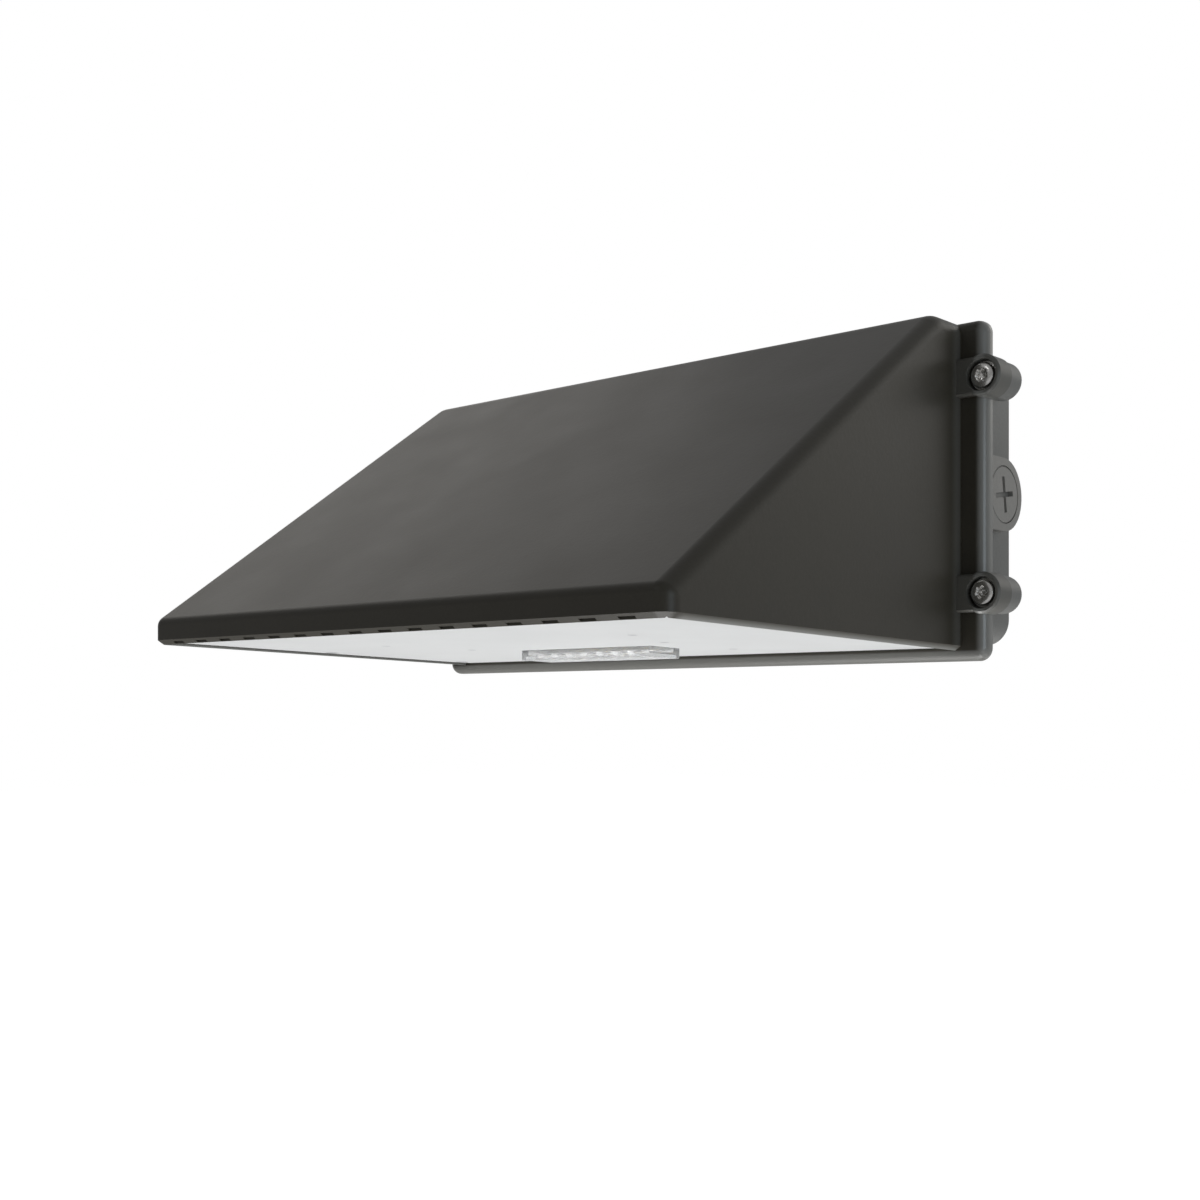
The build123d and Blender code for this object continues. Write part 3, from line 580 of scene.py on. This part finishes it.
class StageSettings(PropertyGroup):
    """Studio, lamps and camera."""

    camera_place: FloatVectorProperty(
        name="Camera place", description="Where the camera stands", subtype="TRANSLATION", unit="LENGTH",
        size=3, default=(0.4322, -0.5665, -0.0811))
    camera_turn: FloatProperty(
        name="Camera azimuth", description="How far the level camera is turned from straight on",
        subtype="ANGLE", unit="ROTATION", default=math.radians(41.88))
    lens: FloatProperty(
        name="Lens", description="Focal length on a 36 mm sensor", unit="CAMERA", default=46.13)
    shift: FloatProperty(
        name="Vertical shift", description="Shift that frames the light from a level camera",
        default=0.0943)
    floor_drop: FloatProperty(
        name="Floor drop", description="Floor below the middle of the wall box",
        subtype="DISTANCE", unit="LENGTH", default=0.75)
    left_light: FloatProperty(
        name="Left light", description="Power of the softbox high on the left", unit="POWER", default=2.45)
    right_light: FloatProperty(
        name="Right light", description="Power of the softbox behind on the right", unit="POWER", default=0.3)
    back_light: FloatProperty(
        name="Back light", description="Power of the softbox high behind", unit="POWER", default=2.1)
    spark_light: FloatProperty(
        name="Spark", description="Power of the small lamp that glints on the screws", unit="POWER",
        default=0.35)
    low_light: FloatProperty(
        name="Low light", description="Power of the softbox below that fills the tray", unit="POWER",
        default=3.85)
    side_light: FloatProperty(
        name="Side light", description="Power of the cool softbox on the right", unit="POWER", default=2.8)
    side_tint: FloatVectorProperty(
        name="Side tint", description="Colour of the softbox on the right",
        subtype="COLOR", size=3, min=0.0, max=1.0, default=(0.78, 0.90, 1.0))
    high_tint: FloatVectorProperty(
        name="High tint", description="Colour of the softboxes high on the left, on the right and behind",
        subtype="COLOR", size=3, min=0.0, max=1.0, default=(1.0, 0.965, 0.90))
    room_light: FloatProperty(
        name="Room light", description="Strength of the room's light from behind the wall face",
        min=0.0, default=0.38)
    front_light: FloatProperty(
        name="Front light", description="Strength of the room's light from in front",
        min=0.0, default=0.12)
    mirrored: FloatProperty(
        name="Mirrored background", description="How much of the white background shows in reflections",
        subtype="FACTOR", min=0.0, max=1.0, default=0.15)


class WallPackSettings(PropertyGroup):
    """All settings of the wall pack light."""

    castings: PointerProperty(type=CastingSettings, name="Castings")
    lamp: PointerProperty(type=LampSettings, name="Lamp")
    stage: PointerProperty(type=StageSettings, name="Stage")


# ---------------------------------------------------------------- operators
class WALLPACK_OT_castings(Operator):
    """Powder coat the housing, the wall box and its conduit plugs"""

    bl_idname = "wallpack.castings"
    bl_label = "Coat the castings"

    def execute(self, context):
        want = context.scene.wall_pack.castings
        # the housing's coat carries painted light on its edges, chamfer and crease
        housing = powder_coat(
            "bronze_coat_with_painted_light", want.bronze, want.sheen, want.peel, want.painted_light_colour, painted_light_on_edges,
            on_flange_side)
        # the box's hubs and the plugs carry painted light, a paler grey
        box = powder_coat("box_coat_painted_lighter", want.box_bronze_painted_lighter, want.sheen, want.peel, want.hub_grey_painted_light, on_hubs_painted_light)
        plugs = powder_coat("plug_coat_painted_light", want.hub_grey_painted_light, want.sheen, want.peel)
        dress(housing, "front_housing")
        dress(box, "back_box")
        dress(plugs, "right_conduit_plug", "left_conduit_plug")
        return {"FINISHED"}


class WALLPACK_OT_seals(Operator):
    """Give the gaskets, seals, grommets and thermal pad their rubber and silicone"""

    bl_idname = "wallpack.seals"
    bl_label = "Finish the seals"

    def execute(self, context):
        rubber = moulding("black_rubber", (0.028, 0.028, 0.029), 0.62)
        silicone = moulding("grey_silicone", (0.36, 0.37, 0.38), 0.50)
        dress(rubber, "housing_gasket", "right_plug_seal", "left_plug_seal")
        dress(rubber, "wire_entry_grommet", "lead_grommet")
        dress(silicone, "tray_gasket", "optic_seal", "thermal_pad")
        return {"FINISHED"}


class WALLPACK_OT_fasteners(Operator):
    """Give the screws, washers and spacers their metals"""

    bl_idname = "wallpack.fasteners"
    bl_label = "Finish the fasteners"

    def execute(self, context):
        stainless = metal("stainless", (0.80, 0.79, 0.77), 0.22)
        zinc = metal("bright_zinc", (0.60, 0.61, 0.63), 0.34)
        green = metal("green_zinc", (0.05, 0.30, 0.10), 0.38)
        brass = metal("brass", (0.72, 0.54, 0.26), 0.30)
        dress(stainless, "screw_washers")
        self.cover_screws(stainless)
        dress(zinc, "tray_screws", "spreader_screws", "driver_screws", "spreader_spacers")
        dress(green, "ground_screw")
        dress(brass, "terminal_screws")
        return {"FINISHED"}

    def cover_screws(self, material):
        """The four captive screws: pan heads with a six-lobed recess, and threaded shanks."""
        low, high = screws_low, screws_high
        seat = low[1] + SCREW_HEAD_HEIGHT
        rings = socket_screw(high[1] - seat)
        forms = []
        for x in (low[0] + SCREW_HEAD_RADIUS, high[0] - SCREW_HEAD_RADIUS):
            for z in (low[2] + SCREW_HEAD_RADIUS, high[2] - SCREW_HEAD_RADIUS):
                # each screw stops at an angle of its own
                turn = 0.9 + 7.0 * x + 11.0 * z
                forms.append(turned(placed(rings, (x, seat, z), (0.0, -1.0, 0.0), turn)))
        piece = add_piece("captive_cover_screws", *joined(forms), material, "front")
        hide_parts("cover_screws")


class WALLPACK_OT_lamp(Operator):
    """Finish the white tray, the clear optic, the board and its chips"""

    bl_idname = "wallpack.lamp"
    bl_label = "Finish the lamp"

    def execute(self, context):
        want = context.scene.wall_pack.lamp
        dress(powder_coat("white_powder_coat", want.white, 0.45, 0.00003, cloud=0.02), "light_tray")
        self.optic(clear_moulding("clear_optic", want.clear, 0.08, want.clearness))
        dress(moulding("board_white", (0.83, 0.84, 0.82), 0.42), "led_board")
        dress(moulding("phosphor", want.phosphor, 0.30), "led_chips")
        return {"FINISHED"}

    def optic(self, material):
        """The moulded optic: a framed block with two rows of lenses, a pocket and a flange."""
        piece = add_piece("lensed_optic", *swept(from_rim(optic_rings(), OPTIC_AHEAD)), material, "front")
        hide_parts("led_optic")


class WALLPACK_OT_gear(Operator):
    """Finish the heat spreader, driver, connectors and leads"""

    bl_idname = "wallpack.gear"
    bl_label = "Finish the gear"

    def execute(self, context):
        dress(metal("mill_aluminium", (0.70, 0.71, 0.72), 0.36, (1.0, 0.05, 1.0)), "heat_spreader")
        dress(metal("driver_aluminium", (0.58, 0.59, 0.60), 0.34, (0.05, 1.0, 1.0)), "driver_case")
        dress(moulding("black_nylon", (0.030, 0.030, 0.032), 0.48), "driver_end_caps", "supply_connector")
        dress(moulding("grey_nylon", (0.50, 0.51, 0.51), 0.46), "terminal_block")
        dress(moulding("red_insulation", (0.52, 0.025, 0.025), 0.36), "positive_lead")
        dress(moulding("black_insulation", (0.025, 0.025, 0.026), 0.36), "negative_lead", "live_lead")
        dress(moulding("white_insulation", (0.76, 0.76, 0.74), 0.36), "neutral_lead")
        return {"FINISHED"}


def softbox(name, place, aim, size, power, tint=(1.0, 1.0, 1.0)):
    """A large soft lamp at place that points at aim."""
    lamp = bpy.data.lights.new(name, "AREA")
    lamp.shape = "RECTANGLE"
    lamp.size, lamp.size_y = size
    lamp.energy = power
    lamp.color = tint
    holder = bpy.data.objects.new(name, lamp)
    holder.visible_camera = False
    holder.location = place
    holder.rotation_euler = (Vector(aim) - Vector(place)).to_track_quat("-Z", "Y").to_euler()
    bpy.context.scene.collection.objects.link(holder)


def background_rays(shade, mirrored):
    """1 for rays that show the background straight on or through clear plastic, mirrored if reflected."""
    seen = shade.node("ShaderNodeLightPath", output="Is Camera Ray")
    through = shade.node("ShaderNodeLightPath", output="Is Transmission Ray")
    glossy = shade.node("ShaderNodeLightPath", output="Is Glossy Ray")
    return seen.math("MAXIMUM", through).math("MAXIMUM", glossy * mirrored)


class WALLPACK_OT_stage(Operator):
    """Set the floor, the room, the soft lamps and the camera"""

    bl_idname = "wallpack.stage"
    bl_label = "Set the stage"

    def execute(self, context):
        want = context.scene.wall_pack.stage
        self.floor(want)
        self.room(want)
        self.lamps(want)
        self.camera(context, want)
        return {"FINISHED"}

    def floor(self, want):
        """A flat square well below the light, white to the camera and hardly greyer from high above."""
        reach = 12.0
        corners = [(x * reach, y * reach, -want.floor_drop) for x, y in ((-1, -1), (1, -1), (1, 1), (-1, 1))]
        mesh = bpy.data.meshes.new("studio_floor")
        mesh.from_pydata(corners, [], [(0, 1, 2, 3)])
        floor = bpy.data.objects.new("studio_floor", mesh)
        bpy.context.scene.collection.objects.link(floor)
        material, shade = new_material("studio_floor")
        paint = shade.node("ShaderNodeBsdfDiffuse", None, {"Color": (0.90, 0.90, 0.90, 1.0)}, "BSDF")
        white = shade.node("ShaderNodeEmission", None, {"Color": (1, 1, 1, 1), "Strength": 1.45}, "Emission")
        away = shade.node("ShaderNodeVectorMath", {"operation": "LENGTH"}, {0: shade.place()}, "Value")
        # near the light the white covers only this share of the paint
        near_share = 0.6
        cover = away.smooth(0.9, 2.2) * (1.0 - near_share) + near_share
        share = background_rays(shade, want.mirrored) * cover
        mixed = shade.node("ShaderNodeMixShader", None, {0: share, 1: paint, 2: white})
        shade.node("ShaderNodeOutputMaterial", None, {"Surface": mixed})
        mesh.materials.append(material)

    def room(self, want):
        """A dim room, brighter behind the wall face than in front, that the camera sees as white."""
        world = bpy.data.worlds.new("studio_room")
        bpy.context.scene.world = world
        world.use_nodes = True
        shade = Shading(world.node_tree)
        white = background_rays(shade, want.mirrored)
        way = shade.node("ShaderNodeTexCoord", output="Generated")
        behind = shade.node("ShaderNodeSeparateXYZ", None, {"Vector": way}, "Y").smooth(-0.3, 0.8)
        room = behind * (want.room_light - want.front_light) + want.front_light
        strength = white + (1.0 - white) * room
        back = shade.node("ShaderNodeBackground", None, {"Color": (1, 1, 1, 1), "Strength": strength})
        shade.node("ShaderNodeOutputWorld", None, {"Surface": back})

    def lamps(self, want):
        """Softboxes high on the left, on the right, behind and below, and a small lamp in front."""
        middle = (0.0, -0.10, 0.0)
        softbox("left_softbox", (-1.6, 0.45, 0.95), middle, (1.4, 1.0), want.left_light, want.high_tint)
        softbox("right_softbox", (1.35, 0.75, 0.55), middle, (1.0, 1.0), want.right_light, want.high_tint)
        softbox("back_softbox", (0.70, 1.40, 0.75), middle, (0.9, 0.9), want.back_light, want.high_tint)
        softbox("side_softbox", (1.52, -0.62, -0.03), middle, (0.7, 0.7), want.side_light, want.side_tint)
        softbox("spark_lamp", (-0.25, -1.50, 0.75), middle, (0.16, 0.16), want.spark_light)
        softbox("low_softbox", (0.0, -0.10, -0.70), (0.0, -0.10, 0.0), (0.7, 0.5), want.low_light)

    def camera(self, context, want):
        """A level camera with a vertical shift."""
        data = bpy.data.cameras.new("photo_camera")
        data.sensor_width = 36.0
        data.lens = want.lens
        data.shift_y = want.shift
        camera = bpy.data.objects.new("photo_camera", data)
        camera.location = want.camera_place
        camera.rotation_euler = (math.pi / 2, 0.0, want.camera_turn)
        context.scene.collection.objects.link(camera)
        context.scene.camera = camera
        context.scene.view_settings.view_transform = "Standard"


class WALLPACK_PT_tools(Panel):
    """Lists the wall pack light's steps"""

    bl_idname = "WALLPACK_PT_tools"
    bl_label = "Wall pack light"
    bl_space_type = "VIEW_3D"
    bl_region_type = "UI"
    bl_category = "Wall pack"

    def draw(self, context):
        column = self.layout.column(align=True)
        for step in STEPS:
            column.operator(step.bl_idname)


SETTINGS = (CastingSettings, LampSettings, StageSettings, WallPackSettings)
STEPS = (
    WALLPACK_OT_stage,
    WALLPACK_OT_castings,
    WALLPACK_OT_seals,
    WALLPACK_OT_fasteners,
    WALLPACK_OT_lamp,
    WALLPACK_OT_gear,
)


def register():
    for each in (*SETTINGS, *STEPS, WALLPACK_PT_tools):
        bpy.utils.register_class(each)
    bpy.types.Scene.wall_pack = PointerProperty(type=WallPackSettings)


def unregister():
    del bpy.types.Scene.wall_pack
    for each in reversed((*SETTINGS, *STEPS, WALLPACK_PT_tools)):
        bpy.utils.unregister_class(each)


def main():
    """Make the light's looks."""
    register()
    for step in STEPS:
        family, name = step.bl_idname.split(".")
        getattr(getattr(bpy.ops, family), name)()


if __name__ == "__main__":
    main()
